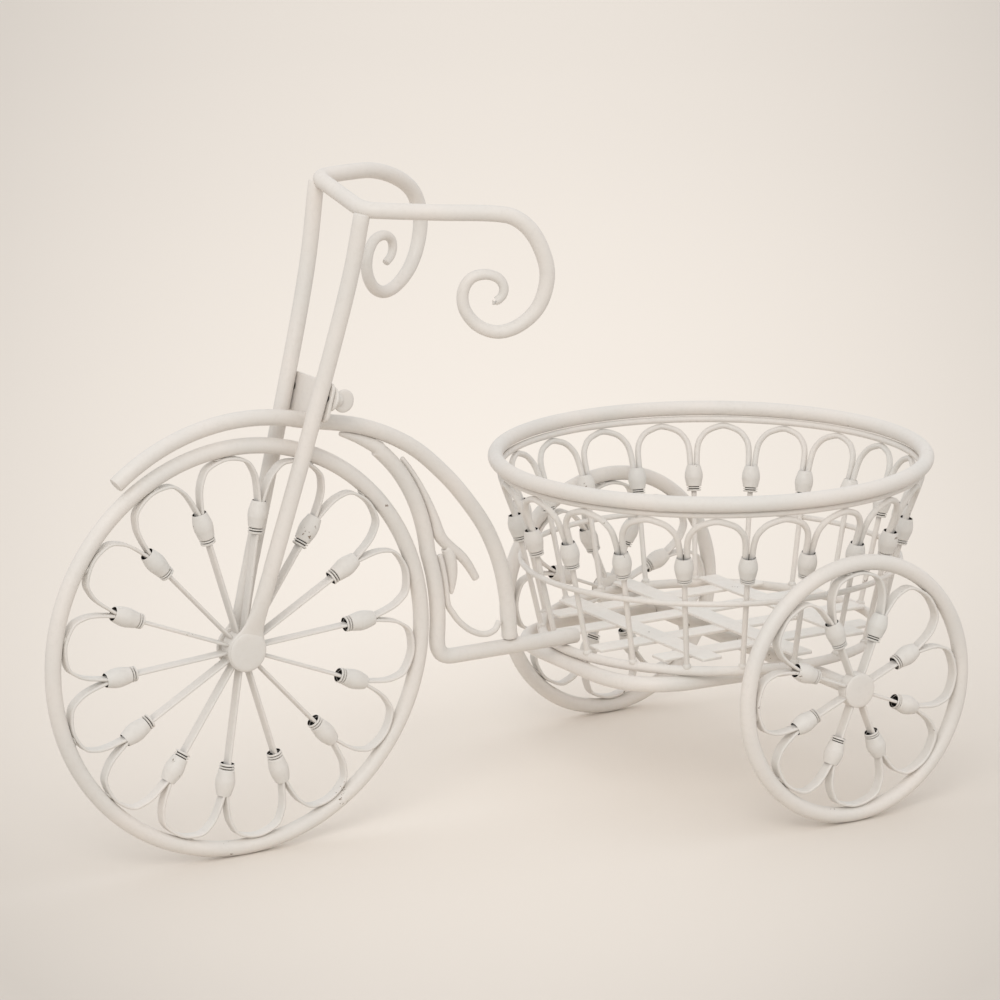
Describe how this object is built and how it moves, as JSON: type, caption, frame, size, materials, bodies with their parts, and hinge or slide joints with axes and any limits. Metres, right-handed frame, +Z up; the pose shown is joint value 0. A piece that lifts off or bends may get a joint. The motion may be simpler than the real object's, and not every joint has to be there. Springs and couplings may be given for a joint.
{
  "type": "tricycle planter",
  "caption": "Painted metal planter shaped like a tricycle: petal-lobed wheels that turn, scrolled handlebar and frame, and a round openwork basket that holds a pot.",
  "frame": {"origin": "on the floor, below the middle of the whole piece", "axes": "+X runs from the front wheel to the basket, +Z is up, and -Y is the rider's left-hand side, which the picture shows nearest"},
  "size_m": [0.494, 0.2402, 0.3321],
  "materials": {
    "white_paint": "satin off-white paint over metal, slightly worn at the welds"
  },
  "bodies": {
    "stand": {"basket_arches": "white_paint", "basket_cage": "white_paint", "basket_cradle": "white_paint", "basket_floor": "white_paint", "basket_rim": "white_paint", "basket_upper_ring": "white_paint", "clamp_stud_left": "white_paint", "clamp_stud_right": "white_paint", "crown_bracket": "white_paint", "fork_leg_left": "white_paint", "fork_leg_right": "white_paint", "frame_scroll_lower": "white_paint", "frame_scroll_upper": "white_paint", "frame_tube_lower": "white_paint", "frame_tube_upper": "white_paint", "front_axle": "white_paint", "handlebar": "white_paint", "rear_axle": "white_paint"},
    "front_wheel": {"front_hub": "white_paint", "front_petal_band": "white_paint", "front_rim": "white_paint", "front_spoke_01": "white_paint", "front_spoke_02": "white_paint", "front_spoke_03": "white_paint", "front_spoke_04": "white_paint", "front_spoke_05": "white_paint", "front_spoke_06": "white_paint", "front_spoke_07": "white_paint", "front_spoke_08": "white_paint", "front_spoke_09": "white_paint", "front_spoke_10": "white_paint", "front_spoke_11": "white_paint", "front_spoke_12": "white_paint", "front_spoke_13": "white_paint", "front_spoke_14": "white_paint"},
    "rear_wheel_left": {"rear_hub_left": "white_paint", "rear_petal_band_left": "white_paint", "rear_rim_left": "white_paint", "rear_spoke_left_01": "white_paint", "rear_spoke_left_02": "white_paint", "rear_spoke_left_03": "white_paint", "rear_spoke_left_04": "white_paint", "rear_spoke_left_05": "white_paint", "rear_spoke_left_06": "white_paint", "rear_spoke_left_07": "white_paint", "rear_spoke_left_08": "white_paint"},
    "rear_wheel_right": {"rear_hub_right": "white_paint", "rear_petal_band_right": "white_paint", "rear_rim_right": "white_paint", "rear_spoke_right_01": "white_paint", "rear_spoke_right_02": "white_paint", "rear_spoke_right_03": "white_paint", "rear_spoke_right_04": "white_paint", "rear_spoke_right_05": "white_paint", "rear_spoke_right_06": "white_paint", "rear_spoke_right_07": "white_paint", "rear_spoke_right_08": "white_paint"},
    "thumb_nut_left": {"thumb_nut_left": "white_paint"},
    "thumb_nut_right": {"thumb_nut_right": "white_paint"}
  },
  "joints": [
    {"name": "front_wheel_spin", "type": "hinge", "parent": "stand", "child": "front_wheel", "pos_m": [-0.142, 0, 0.105], "axis": [0, 1, 0], "continuous": true},
    {"name": "rear_wheel_left_spin", "type": "hinge", "parent": "stand", "child": "rear_wheel_left", "pos_m": [0.143, -0.1155, 0.069], "axis": [0, 1, 0], "continuous": true},
    {"name": "rear_wheel_right_spin", "type": "hinge", "parent": "stand", "child": "rear_wheel_right", "pos_m": [0.143, 0.1155, 0.069], "axis": [0, 1, 0], "continuous": true},
    {"name": "thumb_nut_left_turn", "type": "hinge", "parent": "stand", "child": "thumb_nut_left", "pos_m": [-0.09949, -0.01717, 0.22784], "axis": [0.9658, 0, -0.2593], "continuous": true},
    {"name": "thumb_nut_right_turn", "type": "hinge", "parent": "stand", "child": "thumb_nut_right", "pos_m": [-0.09949, 0.01717, 0.22784], "axis": [0.9658, 0, -0.2593], "continuous": true}
  ]
}
